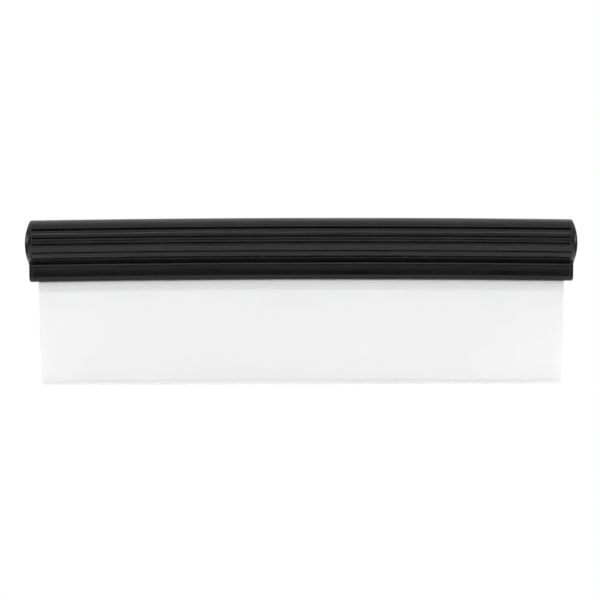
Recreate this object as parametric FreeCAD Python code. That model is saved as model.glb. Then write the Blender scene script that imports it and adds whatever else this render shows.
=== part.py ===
import FreeCAD, Part

import math
import os

from FreeCAD import Vector

# A wide hand scraper: a ribbed grip sleeve round a rigid core, whose jaws hold a flexible blade
# by its beaded root. Two domed end caps are pressed into the core and keep the blade from sliding out.
#
# Millimetres. X runs along the blade, -Y is the front, +Z points from the blade's edge to the grip.
# The origin is the middle of the blade's edge. Sections lie in the plane x = 0, at mid-length.

# Lengths along X
BODY_LENGTH = 312.8        # core and sleeve, between the end caps
BLADE_LENGTH = 304.8       # blade, measured where it leaves the jaws
BLADE_LEAN = 1.45          # how far each end of the blade leans in by the time it reaches the edge

# The handle rises in the middle, and the blade's edge stays straight
CROWN = 1.15
ARCH_RADIUS = BODY_LENGTH ** 2 / (8 * CROWN)

# Grip
GRIP_RADIUS = 12.4         # over the crests of the ribs
GRIP_Z = 84.4              # axis of the grip above the blade's edge
CORE_RADIUS = 10.0
CORE_BORE = 7.6
SLEEVE_CLEARANCE = 0.05
NECK_HALF = 3.6            # half the thickness of the neck between grip and jaws
FIRST_GROOVE = 8.25        # degrees from the front-to-back line to the grooves next to it
GROOVE_PITCH = 26.5        # degrees from there to the next
GROOVES_ABOVE = 2          # on each side of the grip. The top of the grip is smooth
GROOVES_BELOW = 3
GROOVE_DEPTH = 0.9
GROOVE_LIP_DEPTH = 0.3     # depth at which the rounded lip of a rib meets the groove's round floor
GROOVE_LIP_HALF = 0.4
GROOVE_MOUTH_HALF = 0.75
TOP_GROOVE_DEPTH = 1.7     # the groove beside the smooth top is deeper
TOP_GROOVE_WIDTH = 1.8     # and this much wider than the others

# Jaws
JAW_BOTTOM_Z = 60.95
JAW_HALF = 4.8             # half the thickness at the rounded shoulder
NOSE_HALF = 4.55           # and at the rounded nose below it
TOP_ROUND = 3.2            # radius of the shoulder
TOP_ROUND_Z = 69.45
NOSE_ROUND = 3.0
WAIST_RADIUS = 45.0        # shallow finger line between the shoulder and the nose
CHANNEL_Z = 69.1           # axis of the bead channel
CHANNEL_RADIUS = 2.7
SLOT_HALF = 1.25

# Blade
BEAD_RADIUS = 2.6
TONGUE_HALF = 1.15         # the part between the jaws
SHOULDER_HALF = 1.5        # thick band just below the jaws
SHOULDER_TOP_Z = 60.85
SHOULDER_BOTTOM_Z = 55.7
WEB_HALF = 1.1
SWELL_HALF = 1.35          # the blade thickens a little above its bevel
SWELL_TOP_Z = 12.0
BEVEL_TOP_Z = 3.0
EDGE_HALF = 0.5
SPLICE_Z = 50.0            # the crowned root reaches down to here, inside the straight web
SPLICE = 2.0               # how far the two overlap
TRIM = 10.0                # size of the blocks that trim the blade's ends, larger than what they take off

# End caps
DOME_RADIUS = 30.0
DOME_HEIGHT = 4.1
DOME_DROP = 1.5            # the dome's middle lies this far below the axis of the grip
CAP_RIM_RADIUS = 12.3
CAP_PLATE = 1.75           # thickness over the jaws
CAP_EDGE_ROUND = 1.55
PLUG_RADIUS = 7.5
PLUG_BORE = 5.7
PLUG_LENGTH = 12.0
PLUG_LEAD = 0.8
CRUSH_RIB_RADIUS = 0.5
CRUSH_RIBS = 4
CRUSH_RIB_LEAD = 1.0       # the ribs end this far before the plug's lead
STOP_LENGTH = 3.8          # how far the cap reaches into the channel, up to the blade's end
STOP_CLEARANCE = 0.12
STOP_SETBACK = 0.5         # the key stays this far above the bottom of the jaws

CLOSE = 0.001              # two measures nearer than this are the same

MIDDLE = Vector(0, 0, 0)
ALONG = Vector(1, 0, 0)
ACROSS = Vector(0, 1, 0)
ARCH_CENTRE = Vector(0, 0, GRIP_Z - ARCH_RADIUS)


def at(y, z):
    return Vector(0, y, z)


def mirrored(point):
    return Vector(point.x, -point.y, point.z)


def polar(radius, degrees):
    """A point of the section, at an angle above the front-to-back line through the grip's axis."""
    turn = math.radians(degrees)
    return at(radius * math.cos(turn), GRIP_Z + radius * math.sin(turn))


def face_of(edges):
    return Part.Face(Part.Wire(Part.__sortEdges__(edges)))


def disc(radius, z):
    return face_of([Part.Circle(at(0, z), ALONG, radius).toShape()])


def strip(half, bottom, top):
    """A rectangle of the section, centred on the blade's plane."""
    corners = [at(-half, bottom), at(half, bottom), at(half, top), at(-half, top), at(-half, bottom)]
    return Part.Face(Part.makePolygon(corners))


def along_arch(section, length):
    """Sweeps a section along the crowned line of the handle, centred on mid-length."""
    turn = math.degrees(length / ARCH_RADIUS)
    start = section.copy()
    start.rotate(ARCH_CENTRE, ACROSS, -turn / 2)
    return start.revolve(ARCH_CENTRE, ACROSS, turn)


def to_end(shape):
    """Carries a shape from mid-length to the right-hand end of the body."""
    moved = shape.copy()
    moved.rotate(ARCH_CENTRE, ACROSS, math.degrees(BODY_LENGTH / 2 / ARCH_RADIUS))
    return moved


def jaw_centres():
    """Centres of the arcs of shoulder, waist and nose. The waist touches the other two from outside."""
    top = at(JAW_HALF - TOP_ROUND, TOP_ROUND_Z)
    nose = at(NOSE_HALF - NOSE_ROUND, JAW_BOTTOM_Z + NOSE_ROUND)
    from_top, from_nose = TOP_ROUND + WAIST_RADIUS, NOSE_ROUND + WAIST_RADIUS
    line = nose - top
    apart = line.Length
    along = (from_top ** 2 - from_nose ** 2 + apart ** 2) / (2 * apart)
    aside = math.sqrt(from_top ** 2 - along ** 2)
    line.normalize()
    outward = at(-line.z, line.y)
    return top, top + line * along + outward * aside, nose


def toward(start, end, distance):
    """The point at a distance from start, on the line to end."""
    direction = end - start
    direction.normalize()
    return start + direction * distance


def jaw_outline():
    """Closed outline of neck and jaws, with no slot."""
    top, waist, nose = jaw_centres()
    foot = at(nose.y, JAW_BOTTOM_Z)
    nose_end = toward(nose, waist, NOSE_ROUND)
    nose_middle = nose + at(math.sin(math.pi / 4), -math.cos(math.pi / 4)) * NOSE_ROUND
    waist_middle = at(waist.y - WAIST_RADIUS, waist.z)
    top_start = toward(top, waist, TOP_ROUND)
    top_middle = at(JAW_HALF, TOP_ROUND_Z)
    top_end = at(NECK_HALF, TOP_ROUND_Z + math.sqrt(TOP_ROUND ** 2 - (NECK_HALF - top.y) ** 2))
    neck_top = at(NECK_HALF, GRIP_Z - CORE_BORE)
    right = [
        (foot, nose_middle, nose_end),
        (nose_end, waist_middle, top_start),
        (top_start, top_middle, top_end),
    ]
    edges = []
    for points in right:
        edges.append(Part.Arc(*points).toShape())
        edges.append(Part.Arc(*[mirrored(p) for p in points]).toShape())
    for side in (top_end, neck_top), (mirrored(top_end), mirrored(neck_top)):
        edges.append(Part.LineSegment(*side).toShape())
    edges.append(Part.LineSegment(neck_top, mirrored(neck_top)).toShape())
    edges.append(Part.LineSegment(foot, mirrored(foot)).toShape())
    return face_of(edges)


def grooves():
    """Angle above the front-to-back line, depth and relative width of each groove, front and back."""
    above = [FIRST_GROOVE + GROOVE_PITCH * k for k in range(GROOVES_ABOVE)]
    below = [-FIRST_GROOVE - GROOVE_PITCH * k for k in range(GROOVES_BELOW)]
    front = [(angle, GROOVE_DEPTH, 1) for angle in above[:-1] + below]
    front.append((above[-1], TOP_GROOVE_DEPTH, TOP_GROOVE_WIDTH))
    back = [(180 - angle, depth, width) for angle, depth, width in front]
    return sorted((angle % 360, depth, width) for angle, depth, width in front + back)


def arc_of_section(*stops):
    """An arc through three points, each given as a radius and an angle."""
    return Part.Arc(*[polar(radius, degrees) for radius, degrees in stops]).toShape()


def ribbed_disc():
    """The grip's outer outline: crests on one circle, parted by round-bottomed grooves."""
    lip_radius = GRIP_RADIUS - GROOVE_LIP_DEPTH
    soft_radius = GRIP_RADIUS - GROOVE_LIP_DEPTH / 4
    edges, crest_ends = [], []
    for groove, depth, width in grooves():
        lip = math.degrees(width * GROOVE_LIP_HALF / GRIP_RADIUS)
        mouth = math.degrees(width * GROOVE_MOUTH_HALF / GRIP_RADIUS)
        between = (mouth + lip) / 2
        edges.append(arc_of_section(
            (lip_radius, groove - lip), (GRIP_RADIUS - depth, groove), (lip_radius, groove + lip)
        ))
        for side in (-1, 1):
            edges.append(arc_of_section(
                (lip_radius, groove + side * lip), (soft_radius, groove + side * between),
                (GRIP_RADIUS, groove + side * mouth)
            ))
        crest_ends.append((groove - mouth, groove + mouth))
    first_start = crest_ends[0][0] + 360
    crest_starts = [after for _, after in crest_ends]
    crest_stops = [before for before, _ in crest_ends[1:]] + [first_start]
    for start, stop in zip(crest_starts, crest_stops):
        edges.append(arc_of_section(
            (GRIP_RADIUS, start), (GRIP_RADIUS, (start + stop) / 2), (GRIP_RADIUS, stop)
        ))
    return face_of(edges)


def handle_core():
    section = disc(CORE_RADIUS, GRIP_Z).fuse(jaw_outline()).removeSplitter()
    section = section.cut(disc(CORE_BORE, GRIP_Z)).cut(disc(CHANNEL_RADIUS, CHANNEL_Z))
    section = section.cut(strip(SLOT_HALF, JAW_BOTTOM_Z - CHANNEL_RADIUS, CHANNEL_Z))
    return along_arch(section.Faces[0], BODY_LENGTH)


def grip_sleeve():
    section = ribbed_disc().cut(disc(CORE_RADIUS + SLEEVE_CLEARANCE, GRIP_Z))
    section = section.cut(strip(NECK_HALF + SLEEVE_CLEARANCE, GRIP_Z - 2 * GRIP_RADIUS, GRIP_Z))
    return along_arch(section.Faces[0], BODY_LENGTH)


def mirrored_face(right):
    """A face with straight sides. The points run down its right side, and are mirrored for its left."""
    ring = [mirrored(p) for p in right] + right[::-1]
    return Part.Face(Part.makePolygon(ring + ring[:1]))


def blade_root():
    """Bead, tongue and shoulder, which follow the crown of the handle."""
    step = SHOULDER_HALF - WEB_HALF
    section = mirrored_face([
        at(TONGUE_HALF, CHANNEL_Z), at(TONGUE_HALF, SHOULDER_TOP_Z),
        at(SHOULDER_HALF, SHOULDER_TOP_Z), at(SHOULDER_HALF, SHOULDER_BOTTOM_Z),
        at(WEB_HALF, SHOULDER_BOTTOM_Z - step), at(WEB_HALF, SPLICE_Z),
    ])
    section = section.fuse(disc(BEAD_RADIUS, CHANNEL_Z)).removeSplitter()
    return along_arch(section.Faces[0], BLADE_LENGTH)


def blade_web():
    """The thin web, which runs straight down to the swell, the bevel and the edge."""
    section = mirrored_face([
        at(WEB_HALF, SPLICE_Z + SPLICE), at(WEB_HALF, SWELL_TOP_Z),
        at(SWELL_HALF, BEVEL_TOP_Z), at(EDGE_HALF, 0),
    ])
    section.translate(ALONG * (-BLADE_LENGTH / 2))
    return section.extrude(ALONG * BLADE_LENGTH)


def end_trim(side):
    """What is taken off one end of the blade, so that it leans in towards the edge."""
    reach = BLADE_LENGTH / 2
    low = -SPLICE
    lean = BLADE_LEAN * (SHOULDER_TOP_Z - low) / SHOULDER_TOP_Z
    far = reach + TRIM
    corners = [(reach, SHOULDER_TOP_Z), (far, SHOULDER_TOP_Z), (far, low), (reach - lean, low)]
    ring = [Vector(side * x, -TRIM / 2, z) for x, z in corners]
    return Part.Face(Part.makePolygon(ring + ring[:1])).extrude(ACROSS * TRIM)


def blade():
    whole = blade_root().fuse(blade_web()).removeSplitter()
    return whole.cut([end_trim(1), end_trim(-1)])


def cap_dome():
    """A shallow dome over the round of the grip. Its rim is thin at the top and thicker below."""
    block = Part.makeCylinder(CAP_RIM_RADIUS, DOME_HEIGHT, Vector(0, 0, GRIP_Z), ALONG)
    ball = Part.makeSphere(DOME_RADIUS, Vector(DOME_HEIGHT - DOME_RADIUS, 0, GRIP_Z - DOME_DROP))
    return block.common(ball)


def cap_plate():
    """The flat part over the jaws, rounded round its outer edge."""
    plate = jaw_outline().extrude(ALONG * CAP_PLATE)
    under_dome = GRIP_Z - CORE_BORE - CLOSE
    outer = [
        edge for edge in plate.Edges
        if abs(edge.CenterOfMass.x - CAP_PLATE) < CLOSE and edge.CenterOfMass.z < under_dome
    ]
    return plate.makeFillet(CAP_EDGE_ROUND, outer)


def cap_plug():
    """Hollow plug with crush ribs, pressed into the core's bore."""
    base = Vector(0, 0, GRIP_Z)
    inward = ALONG * -1
    straight = PLUG_LENGTH - PLUG_LEAD
    plug = Part.makeCylinder(PLUG_RADIUS, straight, base, inward)
    lead = Part.makeCone(PLUG_RADIUS, PLUG_RADIUS - PLUG_LEAD, PLUG_LEAD, base + inward * straight, inward)
    plug = plug.fuse(lead)
    for k in range(CRUSH_RIBS):
        centre = polar(CORE_BORE - CRUSH_RIB_RADIUS, 360 / CRUSH_RIBS * (k + 0.5))
        plug = plug.fuse(Part.makeCylinder(CRUSH_RIB_RADIUS, straight - CRUSH_RIB_LEAD, centre, inward))
    return plug.cut(Part.makeCylinder(PLUG_BORE, PLUG_LENGTH, base, inward))


def cap_stop():
    """Peg and key that fill the end of the channel and slot, and keep the blade from sliding out."""
    inward = ALONG * -STOP_LENGTH
    peg = disc(CHANNEL_RADIUS - STOP_CLEARANCE, CHANNEL_Z).extrude(inward)
    key = strip(SLOT_HALF - STOP_CLEARANCE, JAW_BOTTOM_Z + STOP_SETBACK, CHANNEL_Z).extrude(inward)
    return peg.fuse(key)


def end_cap():
    cap = cap_dome().fuse([cap_plate(), cap_plug(), cap_stop()]).removeSplitter()
    return to_end(cap)


def export(name, shape):
    solids = shape.Solids
    assert shape.isValid() and len(solids) == 1, f"{name}: {len(solids)} solids, valid {shape.isValid()}"
    box = shape.optimalBoundingBox(False, False)
    print(f"{name:14s} volume {shape.Volume / 1000:7.2f} cm3"
          f"  size {box.XLength:7.2f} {box.YLength:6.2f} {box.ZLength:6.2f}"
          f"  z {box.ZMin:6.2f} to {box.ZMax:6.2f}")
    solids[0].exportStep(f"parts/{name}.step")


def main():
    os.makedirs("parts", exist_ok=True)
    right_cap = end_cap()
    export("handle_core", handle_core())
    export("grip_sleeve", grip_sleeve())
    export("blade", blade())
    export("end_cap_right", right_cap)
    export("end_cap_left", right_cap.mirror(MIDDLE, ALONG))


main()
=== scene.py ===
import math

import bmesh
import bpy
from mathutils import Matrix, Vector, geometry, noise


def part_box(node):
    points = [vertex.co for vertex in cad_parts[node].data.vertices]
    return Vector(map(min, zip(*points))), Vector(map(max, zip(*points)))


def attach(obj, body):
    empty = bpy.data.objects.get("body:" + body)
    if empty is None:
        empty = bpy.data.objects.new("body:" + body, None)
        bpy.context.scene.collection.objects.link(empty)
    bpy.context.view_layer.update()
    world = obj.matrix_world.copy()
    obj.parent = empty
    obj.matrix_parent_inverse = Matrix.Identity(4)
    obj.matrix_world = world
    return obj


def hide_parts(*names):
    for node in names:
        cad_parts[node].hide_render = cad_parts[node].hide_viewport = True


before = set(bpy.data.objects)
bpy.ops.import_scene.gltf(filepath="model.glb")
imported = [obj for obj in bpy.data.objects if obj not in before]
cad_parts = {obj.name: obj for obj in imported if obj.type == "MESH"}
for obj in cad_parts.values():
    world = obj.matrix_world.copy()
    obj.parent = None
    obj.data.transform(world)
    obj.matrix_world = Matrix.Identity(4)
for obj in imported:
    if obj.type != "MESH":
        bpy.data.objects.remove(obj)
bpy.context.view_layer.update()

# Metres. X runs along the blade, -Y is the front, +Z points from the blade's edge up to the grip.
MM = 0.001
SLEEVE_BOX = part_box("grip_sleeve")

# Handle, along X
BODY_LENGTH = 312.8 * MM
CROWN = 1.15 * MM                     # rise of the handle's middle over its ends
ARCH_RADIUS = BODY_LENGTH ** 2 / (8 * CROWN)

# Grip
GRIP_RADIUS = (SLEEVE_BOX[1].y - SLEEVE_BOX[0].y) / 2
GRIP_Z = SLEEVE_BOX[1].z - GRIP_RADIUS
CORE_RADIUS = 10.0 * MM
CORE_BORE = 7.6 * MM
SLEEVE_BORE = 10.05 * MM
SLIT_HALF = 3.65 * MM
NECK_HALF = 3.6 * MM
FIRST_GROOVE = 8.25                   # degrees
GROOVE_PITCH = 26.5                   # degrees
GROOVES_ABOVE = 2                     # on each side of the grip. Its top is smooth
GROOVES_BELOW = 3
GROOVE_DEPTH = 0.9 * MM
GROOVE_HALF = 0.4 * MM
TOP_GROOVE_DEPTH = 1.7 * MM           # the groove beside the smooth top
TOP_GROOVE_HALF = 0.8 * MM
GROOVE_FALLOFF = 1.6                  # how fast the sides of a groove rise
CREST_FALL = 0.4 * MM                 # how far a rib falls from its crest to its edge
CREST_BAND = 0.5 * MM                 # depth below the crests over which the attribute "crest" fades
PLAIN_CREST = 0.5                     # that attribute where there are no ribs
SLIT_CORNER = 0.6                     # degrees by which the slit's outer corners are cut back
SINK = 0.0016                         # share of its radius by which the sleeve's surface sinks in places
SINK_ALONG = 14                       # those places in a metre, along the sleeve
SINK_ACROSS = 260                     # and across it

# Jaws
JAW_BOTTOM_Z = 60.95 * MM
JAW_HALF = 4.8 * MM                   # half the thickness at the rounded shoulder
NOSE_HALF = 4.55 * MM                 # and at the rounded nose
TOP_ROUND = 3.2 * MM
TOP_ROUND_Z = 69.45 * MM
NOSE_ROUND = 3.0 * MM
WAIST_RADIUS = 45.0 * MM
CHANNEL_Z = 69.1 * MM
CHANNEL_RADIUS = 2.7 * MM
SLOT_HALF = 1.25 * MM
SLOT_ROUND = 0.3 * MM

# Blade
BLADE_HALF = 152.4 * MM
BLADE_LEAN = 1.45 * MM                # how far each end leans in, from the jaws down to the edge
BEAD_RADIUS = 2.6 * MM
TONGUE_HALF = 1.15 * MM
SHOULDER_HALF = 1.5 * MM
SHOULDER_TOP_Z = 60.85 * MM
SHOULDER_BOTTOM_Z = 55.7 * MM
WEB_HALF = 1.1 * MM
SWELL_HALF = 1.35 * MM
SWELL_TOP_Z = 12.0 * MM
BEVEL_TOP_Z = 3.0 * MM
EDGE_HALF = 0.5 * MM
STRAIGHT_Z = 50.0 * MM                # the crown dies out below the shoulder, down to here
ROW_SPACING = 2.5 * MM                # between the rows of points on the blade's sides
BLADE_WAVE = 0.25 * MM                # how far the free part of the blade waves to the front and the back
WAVE_ALONG = 9                        # waves in a metre, along the blade
WAVE_UP = 5                           # and up it
WAVE_SLICE = 0.3                      # the slice of the noise that the wave follows
WEB_THICKNESS = 0.5                   # attribute "thickness" on the web. The edge has 0, the shoulder 1
THICKER_FROM_Z = SHOULDER_BOTTOM_Z - 0.9 * MM       # between these heights it rises to the shoulder's
THICKER_TO_Z = SHOULDER_BOTTOM_Z - 0.05 * MM
# How far the rounding of each corner of the blade's section reaches, from the edge up to the tongue
BLADE_ROUNDS = (0.12 * MM, 0.9 * MM, 6.0 * MM, 0.3 * MM, 0.2 * MM, 0.2 * MM, 0.05 * MM)

# End caps
DOME_RADIUS = 30.0 * MM
DOME_HEIGHT = 4.09 * MM
DOME_DROP = 1.5 * MM                  # the dome's middle lies this far below the axis of the grip
CAP_RIM_RADIUS = 12.3 * MM
CAP_PLATE = 1.75 * MM
NO_PLATE_Z = GRIP_Z - 6 * MM          # the plate's thickness grows from nothing here
FULL_PLATE_Z = GRIP_Z - 10 * MM       # to all of it here
CAP_BLEND = 0.25 * MM                 # how softly the dome and the plate join
CAP_LIFT = 0.35                       # share of that by which the join is raised
CAP_ROUND = 1.6 * MM
CAP_ROUND_LIMIT = 0.92                # share of the cap's height that its rounding may take
CAP_CHAMFER = 0.2 * MM                # at the joint with the handle's end
PLUG_RADIUS = 7.5 * MM
PLUG_BORE = 5.7 * MM
PLUG_LENGTH = 12.0 * MM
STOP_LENGTH = 3.8 * MM
STOP_CLEARANCE = 0.12 * MM
STOP_BORE = 0.5 * MM
TIP_CHAMFER = 0.8 * MM                # at the far end of the plug and the stop

# Mesh
END_ROUND = 0.28 * MM                 # softened end edges of the core, the sleeve and the blade
STATIONS = 60                         # sections along X
END_STEPS = 4
RIB_STEPS = 400
BLADE_CORNER_STEPS = 4
FOOT_STEPS = 6
CAP_ROUND_STEPS = 6
PLUG_SIDES = 56
STOP_SIDES = 32
LID_PITCH = 0.6 * MM                  # between the points on the caps' outer faces
LID_ROW = 0.87                        # spacing of their rows, as a share of the pitch
LID_CLEARANCE = 0.45                  # how far they keep from the rim, also as a share
LID_TOLERANCE = 1e-9
INSIDE_ONLY = 1                       # tells the triangulation to fill the outline
SAME_POINT = 0.004 * MM               # points of a section closer than this count as one
SHARP_ANGLE = math.radians(35)

# Camera and light
CAMERA_DISTANCE = 5.0
CLIP_END = 50
FRAME_WIDTH = 348.45 * MM             # what the picture's width covers at the blade
SENSOR = 36.0
AIM = Vector((-0.75 * MM, 0, 49.05 * MM))
ROLL = math.radians(0.14)
FLOOR_SIZE = (0.9, 0.54)
FLOOR_DROP = 0.1 * MM
TENT_LIGHT = 0.88                     # strength of the tent's light on the object
BAND_LIGHT = 0.03                     # its dark band at the height of the camera
BAND_INNER = math.sin(math.radians(1.5))
BAND_OUTER = math.sin(math.radians(9.5))
BAND_SPREAD = 0.4                     # behind the object heights count for this much, which widens the band
BAND_TURN = 0.3                       # how far to the front and the back that change takes
LIGHT_AIM = Vector((0, 0, 50 * MM))
SUN_SPREAD = math.radians(80)

# Colours
WHITE = (1, 1, 1, 1)
DEEP_BLACK = (0.002, 0.002, 0.0022, 1)
SOFT_BLACK = (0.0035, 0.0035, 0.0037, 1)
DUST = (0.04, 0.04, 0.039, 1)
SCRATCH = (0.04, 0.04, 0.04, 1)
WORN_EDGE = (0.035, 0.035, 0.035, 1)
DENSE_MILK = (0.77, 0.775, 0.773, 1)
THIN_MILK = (0.797, 0.8, 0.797, 1)
# painted shade: the shoulder under the jaws is coloured darker, for the handle's shadow and the dimmer thick
# silicone
PAINTED_SHADE_SHOULDER_MILK = (0.7, 0.705, 0.703, 1)
# painted light: the thin edge is coloured whiter, for the light that shines through and onto the bevel
PAINTED_LIGHT_EDGE_MILK = (0.98, 0.98, 0.98, 1)
SMUDGE = (0.8, 0.8, 0.79, 1)
FLOOR_DARK = (0.9, 0.9, 0.9, 1)
FLOOR_LIGHT = (0.92, 0.92, 0.92, 1)

# Socket numbers of a Mix node's colours
MIX_A, MIX_B, MIX_RESULT = 6, 7, 2


# ---------------------------------------------------------------- outlines

def arc(centre, radius, start, end, steps):
    """Points (y, z) on an arc, in degrees above +Y."""
    points = []
    for k in range(steps + 1):
        turn = math.radians(start + (end - start) * k / steps)
        points.append((centre[0] + radius * math.cos(turn), centre[1] + radius * math.sin(turn)))
    return points


def mirrored(points):
    return [(-y, z) for y, z in reversed(points)]


def without_repeats(points):
    kept = []
    for p in points:
        if not kept or math.dist(p, kept[-1]) > SAME_POINT:
            kept.append(p)
    if math.dist(kept[0], kept[-1]) < SAME_POINT:
        kept.pop()
    return kept


def angle_of(centre, point):
    return math.degrees(math.atan2(point[1] - centre[1], point[0] - centre[0]))


def jaw_centres():
    """Centres of the arcs of shoulder, waist and nose. The waist touches the other two from outside."""
    top = Vector((JAW_HALF - TOP_ROUND, TOP_ROUND_Z))
    nose = Vector((NOSE_HALF - NOSE_ROUND, JAW_BOTTOM_Z + NOSE_ROUND))
    from_top, from_nose = TOP_ROUND + WAIST_RADIUS, NOSE_ROUND + WAIST_RADIUS
    line = nose - top
    apart = line.length
    along = (from_top ** 2 - from_nose ** 2 + apart ** 2) / (2 * apart)
    aside = math.sqrt(from_top ** 2 - along ** 2)
    line.normalize()
    return top, top + line * along + Vector((-line.y, line.x)) * aside, nose


def jaw_side():
    """Right-hand side of the jaws, from the foot up to the neck."""
    top, waist, nose = jaw_centres()
    neck = math.degrees(math.acos((NECK_HALF - top.x) / TOP_ROUND))
    side = arc(nose, NOSE_ROUND, -90, angle_of(nose, waist), steps=24)
    side += arc(waist, WAIST_RADIUS, angle_of(waist, nose) % 360, angle_of(waist, top) % 360, steps=16)
    side += arc(top, TOP_ROUND, angle_of(top, waist), neck, steps=20)
    return side


def core_section():
    """Outer loop, which takes in the slot and the bead channel, and the loop of the bore."""
    slot_angle = math.degrees(math.asin(SLOT_HALF / CHANNEL_RADIUS))
    core_start = -math.degrees(math.acos(NECK_HALF / CORE_RADIUS))
    mouth = (SLOT_HALF + SLOT_ROUND, JAW_BOTTOM_Z + SLOT_ROUND)
    inner = arc((0, CHANNEL_Z), CHANNEL_RADIUS, 90, -90 + slot_angle, steps=28)
    inner += arc(mouth, SLOT_ROUND, 180, 270, steps=5)
    right = inner + jaw_side() + arc((0, GRIP_Z), CORE_RADIUS, core_start, 90, steps=40)
    outer = without_repeats(right + mirrored(right))
    bore = arc((0, GRIP_Z), CORE_BORE, 0, 360, steps=64)[:-1]
    return [outer, bore]


def groove_angles():
    """Degrees of the right-hand grooves, with the nearest ones of the other side before and after them."""
    above = [FIRST_GROOVE + GROOVE_PITCH * k for k in range(GROOVES_ABOVE)]
    below = [-FIRST_GROOVE - GROOVE_PITCH * k for k in range(GROOVES_BELOW)]
    return [-180 - below[-1]] + below[::-1] + above + [180 - above[-1]]


def rib_radius(degrees, grooves):
    """Radius of the ribbed grip at -90 to 90 degrees, from the nearest groove and the width of the rib."""
    below = max(g for g in grooves if g <= degrees)
    above = min(g for g in grooves if g > degrees)
    nearest = min(degrees - below, above - degrees)
    wide = min(1, (above - below) / GROOVE_PITCH)
    edge = 1 - min(1, nearest / (wide * GROOVE_PITCH / 2))
    top = degrees > FIRST_GROOVE + GROOVE_PITCH / 2
    depth, half = (TOP_GROOVE_DEPTH, TOP_GROOVE_HALF) if top else (GROOVE_DEPTH, GROOVE_HALF)
    away = math.radians(nearest) * GRIP_RADIUS / half
    groove = depth * math.exp(-GROOVE_FALLOFF * away ** 2)
    return GRIP_RADIUS - CREST_FALL * (wide * edge) ** 2 - groove


def sleeve_section():
    outer_start = -90 + math.degrees(math.asin(SLIT_HALF / GRIP_RADIUS)) + SLIT_CORNER
    inner_start = -90 + math.degrees(math.asin(SLIT_HALF / SLEEVE_BORE))
    grooves = groove_angles()
    right = []
    for k in range(RIB_STEPS + 1):
        degrees = outer_start + (90 - outer_start) * k / RIB_STEPS
        radius = rib_radius(degrees, grooves)
        turn = math.radians(degrees)
        right.append((radius * math.cos(turn), GRIP_Z + radius * math.sin(turn)))
    bore = arc((0, GRIP_Z), SLEEVE_BORE, 180 - inner_start, inner_start, steps=90)
    return [without_repeats(right + mirrored(right) + bore)]


# ---------------------------------------------------------------- mesh tools

def arched(x, y, z):
    """A section's point, carried along the crowned line of the handle."""
    turn = x / ARCH_RADIUS
    reach = z - GRIP_Z + ARCH_RADIUS
    return Vector((reach * math.sin(turn), y, GRIP_Z - ARCH_RADIUS + reach * math.cos(turn)))


def crown_drop(x):
    """How far the crowned line of the handle lies below its middle at x."""
    return CROWN * (2 * x / BODY_LENGTH) ** 2


def unit(value):
    """The value, held between 0 and 1."""
    return min(1, max(0, value))


def smooth_step(low, high, value):
    t = unit((value - low) / (high - low))
    return t * t * (3 - 2 * t)


def inset_point(loop, k, distance):
    """Point k of the loop, moved into the solid, which is on the left of the loop's direction."""
    (y, z), before, after = loop[k], loop[k - 1], loop[(k + 1) % len(loop)]
    along = Vector((after[0] - before[0], after[1] - before[1])).normalized()
    return y - along.y * distance, z + along.x * distance


def inset(loop, distance):
    return [inset_point(loop, k, distance) for k in range(len(loop))]


def clockwise(loop):
    area = sum(a[0] * b[1] - b[0] * a[1] for a, b in zip(loop, loop[1:] + loop[:1]))
    return area < 0


def ordered(loops):
    """The outer loop runs anticlockwise and the holes clockwise, so the solid is always on the left."""
    return [loop[::-1] if clockwise(loop) == (k == 0) else loop for k, loop in enumerate(loops)]


def make_piece(name, points, faces):
    mesh = bpy.data.meshes.new(name)
    mesh.from_pydata(points, [], faces)
    mesh.validate()
    mesh.shade_smooth()
    piece = bpy.data.objects.new(name, mesh)
    bpy.context.scene.collection.objects.link(piece)
    return piece


def stations(half):
    """Places along X, close together at the ends, each with how far the end edge is rounded there."""
    end = []
    for k in range(END_STEPS + 1):
        turn = math.pi / 2 * k / END_STEPS
        end.append((-half + END_ROUND * (1 - math.cos(turn)), END_ROUND * (1 - math.sin(turn))))
    inner = half - END_ROUND
    between = [(-inner + 2 * inner * k / STATIONS, 0) for k in range(1, STATIONS)]
    return end + between + [(-x, rounding) for x, rounding in reversed(end)]


def swept(name, loops, half, shape):
    """Solid swept along X. shape(x, y, z) gives where a section's point goes."""
    loops = ordered(loops)
    places = stations(half)
    points, faces, worn, first, last = [], [], [], [], []
    for loop in loops:
        start, count = len(points), len(loop)
        for x, rounding in places:
            points += [shape(x, y, z) for y, z in (inset(loop, rounding) if rounding else loop)]
            worn += [1.0 if rounding else 0.0] * count
        for s in range(len(places) - 1):
            here, there = start + s * count, start + (s + 1) * count
            for k in range(count):
                n = (k + 1) % count
                faces.append((here + k, there + k, there + n, here + n))
        first += range(start, start + count)
        last += range(len(points) - count, len(points))
    flat = [[Vector((y, z, 0)) for y, z in loop] for loop in loops]
    for a, b, c in geometry.tessellate_polygon(flat):
        faces.append((first[a], first[b], first[c]))
        faces.append((last[a], last[c], last[b]))
    return finished_solid(name, points, faces, worn)


def finished_solid(name, points, faces, worn):
    """The piece with its normals outward, and with the attribute that marks its worn edges."""
    piece = make_piece(name, points, faces)
    piece.data.attributes.new("worn", "FLOAT", "POINT").data.foreach_set("value", worn)
    edit = bmesh.new()
    edit.from_mesh(piece.data)
    bmesh.ops.recalc_face_normals(edit, faces=edit.faces)
    edit.to_mesh(piece.data)
    edit.free()
    piece.data.set_sharp_from_angle(angle=SHARP_ANGLE)
    return piece


def set_attribute(piece, name, value_of):
    layer = piece.data.attributes.new(name, "FLOAT", "POINT")
    layer.data.foreach_set("value", [value_of(v.co) for v in piece.data.vertices])


# ---------------------------------------------------------------- pieces

def make_core():
    piece = swept("core_with_jaws", core_section(), BODY_LENGTH / 2, arched)
    set_attribute(piece, "crest", lambda p: PLAIN_CREST)
    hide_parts("handle_core")
    return piece


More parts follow.
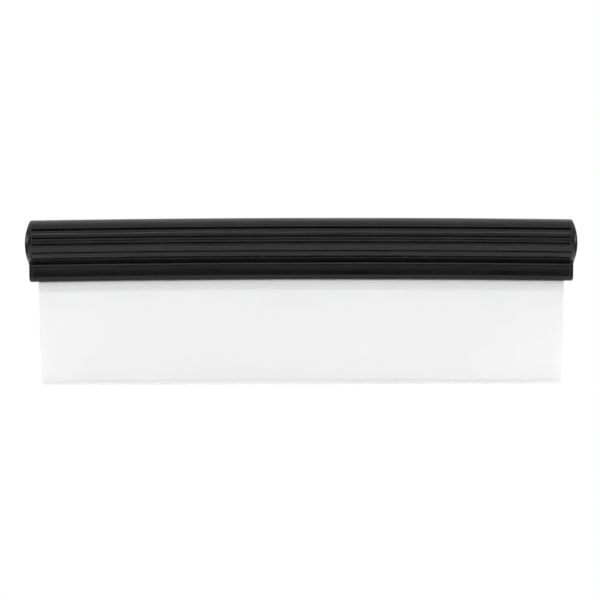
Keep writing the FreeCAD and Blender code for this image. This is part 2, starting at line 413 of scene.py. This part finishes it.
def make_sleeve():
    def shape(x, y, z):
        out = Vector((y, z - GRIP_Z))
        wobble = noise.noise(Vector((x * SINK_ALONG, out.x * SINK_ACROSS, out.y * SINK_ACROSS)))
        shrink = 1 - SINK * (0.5 + 0.5 * wobble)
        return arched(x, y * shrink, GRIP_Z + (z - GRIP_Z) * shrink)

    def crest(p):
        radius = math.hypot(p.y, p.z - GRIP_Z + crown_drop(p.x))
        return unit(1 - (GRIP_RADIUS - radius) / CREST_BAND)

    piece = swept("ribbed_grip", sleeve_section(), BODY_LENGTH / 2, shape)
    set_attribute(piece, "crest", crest)
    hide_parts("grip_sleeve")
    return piece


def blade_side():
    """Right-hand side of the blade's section, from the edge up to the top of the bead."""
    neck = math.degrees(math.acos(TONGUE_HALF / BEAD_RADIUS))
    step = SHOULDER_HALF - WEB_HALF
    path = [
        (0, 0), (EDGE_HALF, 0), (SWELL_HALF, BEVEL_TOP_Z), (WEB_HALF, SWELL_TOP_Z),
        (WEB_HALF, SHOULDER_BOTTOM_Z - step), (SHOULDER_HALF, SHOULDER_BOTTOM_Z),
        (SHOULDER_HALF, SHOULDER_TOP_Z), (TONGUE_HALF, SHOULDER_TOP_Z), (TONGUE_HALF, CHANNEL_Z),
    ]
    side = []
    for before, corner, after, size in zip(path, path[1:], path[2:], BLADE_ROUNDS):
        side += softened(before, corner, after, size)
    divided = []
    for a, b in zip(side, side[1:]):
        count = max(1, round(math.dist(a, b) / ROW_SPACING))
        divided += [(a[0] + (b[0] - a[0]) * k / count, a[1] + (b[1] - a[1]) * k / count)
                    for k in range(count)]
    return divided + arc((0, CHANNEL_Z), BEAD_RADIUS, -neck, 90, steps=24)


def softened(before, corner, after, size):
    """A corner replaced by a quadratic curve that leaves it by the given distance on each side."""
    here = Vector(corner)
    towards, onwards = Vector(before) - here, Vector(after) - here
    start = here + towards.normalized() * min(size, towards.length / 2)
    end = here + onwards.normalized() * min(size, onwards.length / 2)
    points = []
    for k in range(BLADE_CORNER_STEPS + 1):
        t = k / BLADE_CORNER_STEPS
        points.append(tuple(start * (1 - t) ** 2 + here * (2 * t * (1 - t)) + end * t ** 2))
    return points


def make_blade():
    right = blade_side()
    section = without_repeats(right + mirrored(right))

    def shape(x, y, z):
        lean = 1 - BLADE_LEAN / BLADE_HALF * max(0, 1 - z / SHOULDER_TOP_Z)
        rise = (arched(x, y, z).z - z) * smooth_step(STRAIGHT_Z, SHOULDER_BOTTOM_Z, z)
        free = max(0, 1 - z / SHOULDER_BOTTOM_Z)
        wave = BLADE_WAVE * free * noise.noise(Vector((x * WAVE_ALONG, WAVE_SLICE, z * WAVE_UP)))
        return Vector((x * lean, y + wave, z + rise))

    # this attribute also masks the painted shade on the shoulder and the painted light at the edge
    def thickness(p):
        if p.z < BEVEL_TOP_Z:
            return WEB_THICKNESS * p.z / BEVEL_TOP_Z
        level = p.z + crown_drop(p.x)
        return WEB_THICKNESS + (1 - WEB_THICKNESS) * smooth_step(THICKER_FROM_Z, THICKER_TO_Z, level)

    piece = swept("flexible_blade", [section], BLADE_HALF, shape)
    set_attribute(piece, "thickness", thickness)
    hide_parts("blade")
    return piece


def cap_outline():
    """Keyhole outline: the round of the grip and, below it, the jaws."""
    meet = -math.degrees(math.acos(NECK_HALF / CAP_RIM_RADIUS))
    foot = NOSE_HALF - NOSE_ROUND
    right = [(foot * k / FOOT_STEPS, JAW_BOTTOM_Z) for k in range(FOOT_STEPS)]
    right += jaw_side() + arc((0, GRIP_Z), CAP_RIM_RADIUS, meet, 90, steps=90)
    return without_repeats(right + mirrored(right))


def cap_height(y, z):
    """How far the cap's outer face stands off the handle's end: a dome, joined softly to a flat plate."""
    radius = min(math.hypot(y, z - GRIP_Z + DOME_DROP), 2 * CAP_RIM_RADIUS)
    dome = DOME_HEIGHT - DOME_RADIUS + math.sqrt(DOME_RADIUS ** 2 - radius ** 2)
    plate = CAP_PLATE * smooth_step(NO_PLATE_Z, FULL_PLATE_Z, z)
    high, low = max(dome, plate), min(dome, plate)
    return high + CAP_LIFT * CAP_BLEND * math.exp((low - high) / CAP_BLEND)


def tube(outer, inner, length, centre, sides):
    """Points and faces of a closed tube that runs inward from the cap's plane. centre is its height."""
    tip = -length
    rings = [(outer, 0), (outer, tip + TIP_CHAMFER), (outer - TIP_CHAMFER, tip), (inner, tip), (inner, 0)]
    points, faces = [], []
    for radius, x in rings:
        for k in range(sides):
            turn = 2 * math.pi * k / sides
            points.append((x, radius * math.cos(turn), centre + radius * math.sin(turn)))
    for r in range(len(rings)):
        a, b = r * sides, (r + 1) % len(rings) * sides
        for k in range(sides):
            n = (k + 1) % sides
            faces.append((a + k, a + n, b + n, b + k))
    return points, faces


def cap_shell():
    """Points and faces of the cap's visible part: a rounded rim round a dome and a plate."""
    outline, = ordered([cap_outline()])
    count = len(outline)
    points = [(0, y, z) for y, z in inset(outline, CAP_CHAMFER)]
    points += [(CAP_CHAMFER, y, z) for y, z in outline]
    for s in range(CAP_ROUND_STEPS + 1):
        turn = math.pi / 2 * s / CAP_ROUND_STEPS
        for k, (y, z) in enumerate(outline):
            size = min(CAP_ROUND, CAP_ROUND_LIMIT * cap_height(y, z))
            y, z = inset_point(outline, k, size * (1 - math.cos(turn)))
            points.append((cap_height(y, z) - size * (1 - math.sin(turn)), y, z))
    rows = CAP_ROUND_STEPS + 3
    faces = []
    for r in range(rows - 1):
        for k in range(count):
            n = (k + 1) % count
            faces.append((r * count + k, r * count + n, (r + 1) * count + n, (r + 1) * count + k))
    faces += lid(points, list(range(count)))
    faces += lid(points, list(range((rows - 1) * count, rows * count)), cap_height)
    worn = [1.0] * (2 * count) + [0.0] * (len(points) - 2 * count)
    return points, faces, worn


def lid(points, ring, height_of=None):
    """Fills a ring with triangles. With height_of it also adds points inside the ring, at that height."""
    outline = [Vector(points[k][1:]) for k in ring]
    grid = staggered_grid(outline) if height_of else []
    whole = [list(range(len(outline)))]
    result = geometry.delaunay_2d_cdt(outline + grid, [], whole, INSIDE_ONLY, LID_TOLERANCE)
    triangles, sources = result[2:4]
    place = ring + list(range(len(points), len(points) + len(grid)))
    points += [(height_of(p.x, p.y), p.x, p.y) for p in grid]
    return [tuple(place[sources[k][0]] for k in triangle) for triangle in triangles]


def staggered_grid(outline):
    """Points in staggered rows inside an outline and clear of it."""
    low_y, high_y = min(p.x for p in outline), max(p.x for p in outline)
    low_z, high_z = min(p.y for p in outline), max(p.y for p in outline)
    grid = []
    row, z = 0, low_z
    while z < high_z:
        y = low_y + (row % 2) * LID_PITCH / 2
        while y < high_y:
            point = Vector((y, z))
            if inside(outline, y, z) and min((p - point).length for p in outline) > LID_CLEARANCE * LID_PITCH:
                grid.append(point)
            y += LID_PITCH
        z += LID_PITCH * LID_ROW
        row += 1
    return grid


def inside(outline, y, z):
    odd = False
    for a, b in zip(outline, outline[1:] + outline[:1]):
        if (a.y > z) != (b.y > z) and y < (b.x - a.x) * (z - a.y) / (b.y - a.y) + a.x:
            odd = not odd
    return odd


def make_cap(side):
    points, faces, worn = cap_shell()
    extra = [
        tube(PLUG_RADIUS, PLUG_BORE, PLUG_LENGTH, GRIP_Z, PLUG_SIDES),
        tube(CHANNEL_RADIUS - STOP_CLEARANCE, STOP_BORE, STOP_LENGTH, CHANNEL_Z, STOP_SIDES),
    ]
    for more_points, more_faces in extra:
        base = len(points)
        points += more_points
        faces += [tuple(base + k for k in face) for face in more_faces]
        worn += [0.0] * len(more_points)
    turn = Matrix.Rotation(BODY_LENGTH / 2 / ARCH_RADIUS, 4, "Y")
    centre = Vector((0, 0, GRIP_Z - ARCH_RADIUS))
    placed = [turn @ (Vector(p) - centre) + centre for p in points]
    placed = [Vector((side * p.x, p.y, p.z)) for p in placed]
    name = "cap_right" if side > 0 else "cap_left"
    piece = finished_solid(name, placed, faces, worn)
    set_attribute(piece, "crest", lambda p: PLAIN_CREST)
    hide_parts("end_cap_right" if side > 0 else "end_cap_left")
    return piece


# ---------------------------------------------------------------- materials

class Nodes:
    """Adds nodes to a material or a world and links them up."""

    def __init__(self, owner, main="Principled BSDF"):
        owner.use_nodes = True
        self.owner = owner
        self.tree = owner.node_tree
        self.shader = self.tree.nodes[main]

    def add(self, kind, settings=None, **inputs):
        node = self.tree.nodes.new("ShaderNode" + kind)
        for key, value in (settings or {}).items():
            setattr(node, key, value)
        for key, value in inputs.items():
            self.put(node.inputs[key.replace("_", " ")], value)
        return node

    def put(self, socket, value):
        if isinstance(value, bpy.types.NodeSocket):
            self.tree.links.new(value, socket)
        else:
            socket.default_value = value

    def set(self, **inputs):
        for key, value in inputs.items():
            self.put(self.shader.inputs[key.replace("_", " ")], value)

    def stretched(self, scale):
        """Object coordinates, scaled along each axis."""
        coordinates = self.add("TexCoord").outputs["Object"]
        return self.add("Mapping", Vector=coordinates, Scale=scale).outputs["Vector"]

    def attribute(self, name):
        return self.add("Attribute", {"attribute_name": name}).outputs["Fac"]

    def noise(self, scale, detail, roughness=0.5):
        """Noise with the given number of spots in a metre along each axis."""
        place = self.stretched(scale)
        node = self.add("TexNoise", Vector=place, Scale=1.0, Detail=detail, Roughness=roughness)
        return node.outputs["Fac"]

    def remap(self, value, low, high, to_low=0, to_high=1, curve="LINEAR"):
        node = self.add("MapRange", {"interpolation_type": curve}, Value=value,
                        From_Min=low, From_Max=high, To_Min=to_low, To_Max=to_high)
        return node.outputs["Result"]

    def maths(self, operation, a, b=0):
        node = self.add("Math", {"operation": operation})
        self.put(node.inputs[0], a)
        self.put(node.inputs[1], b)
        return node.outputs["Value"]

    def mixed(self, factor, a, b):
        node = self.add("Mix", {"data_type": "RGBA"})
        self.put(node.inputs["Factor"], factor)
        self.put(node.inputs[MIX_A], a)
        self.put(node.inputs[MIX_B], b)
        return node.outputs[MIX_RESULT]

    def bump(self, height, strength, distance, under=None):
        node = self.add("Bump", Height=height, Strength=strength, Distance=distance)
        if under:
            self.put(node.inputs["Normal"], under)
        return node.outputs["Normal"]


def black_plastic(name, smooth, rough, ior, wave):
    """Satin black: fine moulding texture, lengthwise die lines, hairline scratches, dust and worn crests."""
    n = Nodes(bpy.data.materials.new(name))
    grain = n.noise((2600, 2600, 2600), detail=3)
    lines = n.noise((26, 3200, 3200), detail=3)
    waves = n.noise((22, 150, 150), detail=2)
    broad = n.noise((38, 110, 110), detail=4, roughness=0.6)
    dust = n.remap(n.noise((160, 420, 420), detail=6, roughness=0.7), 0.52, 0.78)
    hairs = n.remap(n.noise((90, 5200, 5200), detail=2), 0.66, 0.72)
    patchy = n.remap(n.noise((55, 140, 140), detail=3), 0.5, 0.7)
    dusty = n.maths("MULTIPLY", dust, patchy)
    scratched = n.maths("MULTIPLY", hairs, patchy)
    colour = n.mixed(n.remap(broad, 0.3, 0.7), DEEP_BLACK, SOFT_BLACK)
    colour = n.mixed(n.maths("MULTIPLY", dusty, 0.3), colour, DUST)
    colour = n.mixed(n.maths("MULTIPLY", scratched, 0.3), colour, SCRATCH)
    colour = n.mixed(n.attribute("worn"), colour, WORN_EDGE)
    roughness = n.remap(broad, 0.25, 0.75, smooth, rough)
    roughness = n.maths("SUBTRACT", roughness, n.maths("MULTIPLY", n.attribute("crest"), 0.06))
    roughness = n.maths("ADD", roughness, n.maths("MULTIPLY", dusty, 0.18))
    normal = n.bump(waves, 0.5, wave)
    normal = n.bump(grain, 0.2, 0.03 * MM, normal)
    normal = n.bump(lines, 0.35, 0.02 * MM, normal)
    normal = n.bump(scratched, 0.25, 0.01 * MM, normal)
    n.set(Base_Color=colour, Roughness=roughness, Normal=normal, IOR=ior)
    return n.owner


def milky_silicone(name):
    """Translucent silicone with cloudy variation, extrusion lines along it and a few faint smudges, with
    painted shade on the shoulder and painted light at the edge.
    """
    n = Nodes(bpy.data.materials.new(name))
    cloud = n.noise((14, 30, 30), detail=4, roughness=0.55)
    lines = n.noise((12, 900, 900), detail=3)
    fine = n.noise((1500, 1500, 1500), detail=2)
    smudged = n.remap(n.noise((45, 45, 45), detail=5, roughness=0.65), 0.62, 0.8)
    thickness = n.attribute("thickness")
    colour = n.mixed(n.remap(cloud, 0.3, 0.7), DENSE_MILK, THIN_MILK)
    # painted shade: darker colour on the shoulder, where the handle shades the blade
    colour = n.mixed(n.remap(thickness, WEB_THICKNESS, 1), colour, PAINTED_SHADE_SHOULDER_MILK)
    # painted light: whiter colour towards the thin edge
    colour = n.mixed(n.remap(thickness, 0, WEB_THICKNESS, 1, 0), colour, PAINTED_LIGHT_EDGE_MILK)
    colour = n.mixed(n.maths("MULTIPLY", smudged, 0.3), colour, SMUDGE)
    roughness = n.maths("ADD", n.remap(cloud, 0.3, 0.7, 0.3, 0.42), n.maths("MULTIPLY", smudged, 0.15))
    normal = n.bump(lines, 0.25, 0.03 * MM)
    normal = n.bump(fine, 0.1, 0.01 * MM, normal)
    n.set(
        Base_Color=colour, Roughness=roughness, Normal=normal, IOR=1.41,
        Subsurface_Weight=0.6, Subsurface_Radius=(1.0, 1.0, 1.0), Subsurface_Scale=3.0 * MM,
        Transmission_Weight=n.remap(thickness, 0, WEB_THICKNESS, 0.9, 0.15),
    )
    return n.owner


def pale_floor(name):
    n = Nodes(bpy.data.materials.new(name))
    mottled = n.noise((6, 6, 6), detail=5, roughness=0.6)
    colour = n.mixed(n.remap(mottled, 0.3, 0.7), FLOOR_DARK, FLOOR_LIGHT)
    n.set(Base_Color=colour, Roughness=0.9, Specular_IOR_Level=0.1)
    return n.owner


# ---------------------------------------------------------------- stage

def make_floor():
    x, y = FLOOR_SIZE[0] / 2, FLOOR_SIZE[1] / 2
    corners = [(-x, -y), (x, -y), (x, y), (-x, y)]
    floor = make_piece("floor", [(*corner, -FLOOR_DROP) for corner in corners], [(0, 1, 2, 3)])
    floor.data.materials.append(pale_floor("pale_floor"))


def make_light(name, place, size, power):
    data = bpy.data.lights.new(name, "AREA")
    data.shape = "RECTANGLE"
    data.size, data.size_y = size
    data.energy = power
    lamp = bpy.data.objects.new(name, data)
    lamp.location = place
    lamp.rotation_euler = (LIGHT_AIM - Vector(place)).to_track_quat("-Z", "Y").to_euler()
    lamp.visible_camera = False
    bpy.context.scene.collection.objects.link(lamp)


def make_sun(name, strength, direction):
    """Soft, even light that the glossy plastic doesn't mirror."""
    data = bpy.data.lights.new(name, "SUN")
    data.energy = strength
    data.angle = SUN_SPREAD
    lamp = bpy.data.objects.new(name, data)
    lamp.rotation_euler = Vector(direction).to_track_quat("-Z", "Y").to_euler()
    lamp.visible_glossy = False
    bpy.context.scene.collection.objects.link(lamp)


def make_world():
    """A white tent. What it sheds on the object is dimmer, with a dark band all round at camera height."""
    n = Nodes(bpy.data.worlds.new("white_tent"), "Background")
    parts = n.add("SeparateXYZ", Vector=n.add("TexCoord").outputs["Generated"])
    behind = n.remap(parts.outputs["Y"], -BAND_TURN, BAND_TURN, 1, BAND_SPREAD)
    height = n.maths("MULTIPLY", n.maths("ABSOLUTE", parts.outputs["Z"]), behind)
    light = n.remap(height, BAND_INNER, BAND_OUTER, BAND_LIGHT, TENT_LIGHT, "SMOOTHSTEP")
    n.set(Color=WHITE, Strength=light)
    seen = n.add("Background", Color=WHITE)
    path = n.add("LightPath").outputs
    white = n.maths("MAXIMUM", path["Is Camera Ray"], path["Is Transmission Ray"])
    both = n.add("MixShader", Fac=white)
    n.put(both.inputs[1], n.shader.outputs["Background"])
    n.put(both.inputs[2], seen.outputs["Background"])
    n.put(n.tree.nodes["World Output"].inputs["Surface"], both.outputs["Shader"])
    bpy.context.scene.world = n.owner


def make_camera():
    data = bpy.data.cameras.new("camera")
    data.sensor_width = SENSOR
    data.lens = SENSOR * CAMERA_DISTANCE / FRAME_WIDTH
    data.clip_end = CLIP_END
    camera = bpy.data.objects.new("camera", data)
    camera.location = AIM - Vector((0, CAMERA_DISTANCE, 0))
    camera.rotation_euler = (Matrix.Rotation(math.pi / 2, 3, "X") @ Matrix.Rotation(-ROLL, 3, "Z")).to_euler()
    bpy.context.scene.collection.objects.link(camera)
    bpy.context.scene.camera = camera


# ---------------------------------------------------------------- assembly

make_camera()
make_world()
make_floor()
make_sun("overhead", strength=2.0, direction=(0, 0, -1))
make_sun("front_fill", strength=0.4, direction=(0, 1, -0.15))
make_sun("rear_fill", strength=0.35, direction=(0, -1, -0.15))
make_light("front_softbox", place=(0, -1.08, 0.84), size=(1.6, 0.25), power=2.7)
make_light("left_strip", place=(-1.3, 0.8, 0.17), size=(1.5, 0.07), power=0.46)
make_light("right_strip", place=(1.3, 0.8, 0.15), size=(1.5, 0.07), power=0.41)

jaw_plastic = black_plastic("satin_black_jaws", smooth=0.19, rough=0.28, ior=1.335, wave=0.3 * MM)
grip_rubber = black_plastic("ribbed_black_grip", smooth=0.22, rough=0.34, ior=1.37, wave=0.8 * MM)
cap_plastic = black_plastic("satin_black_caps", smooth=0.24, rough=0.34, ior=1.335, wave=0.3 * MM)
silicone = milky_silicone("milky_silicone")
for piece, material in (
    (make_core(), jaw_plastic), (make_sleeve(), grip_rubber), (make_blade(), silicone),
    (make_cap(-1), cap_plastic), (make_cap(1), cap_plastic),
):
    piece.data.materials.append(material)
    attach(piece, "root")

bpy.context.scene.view_settings.view_transform = "Standard"
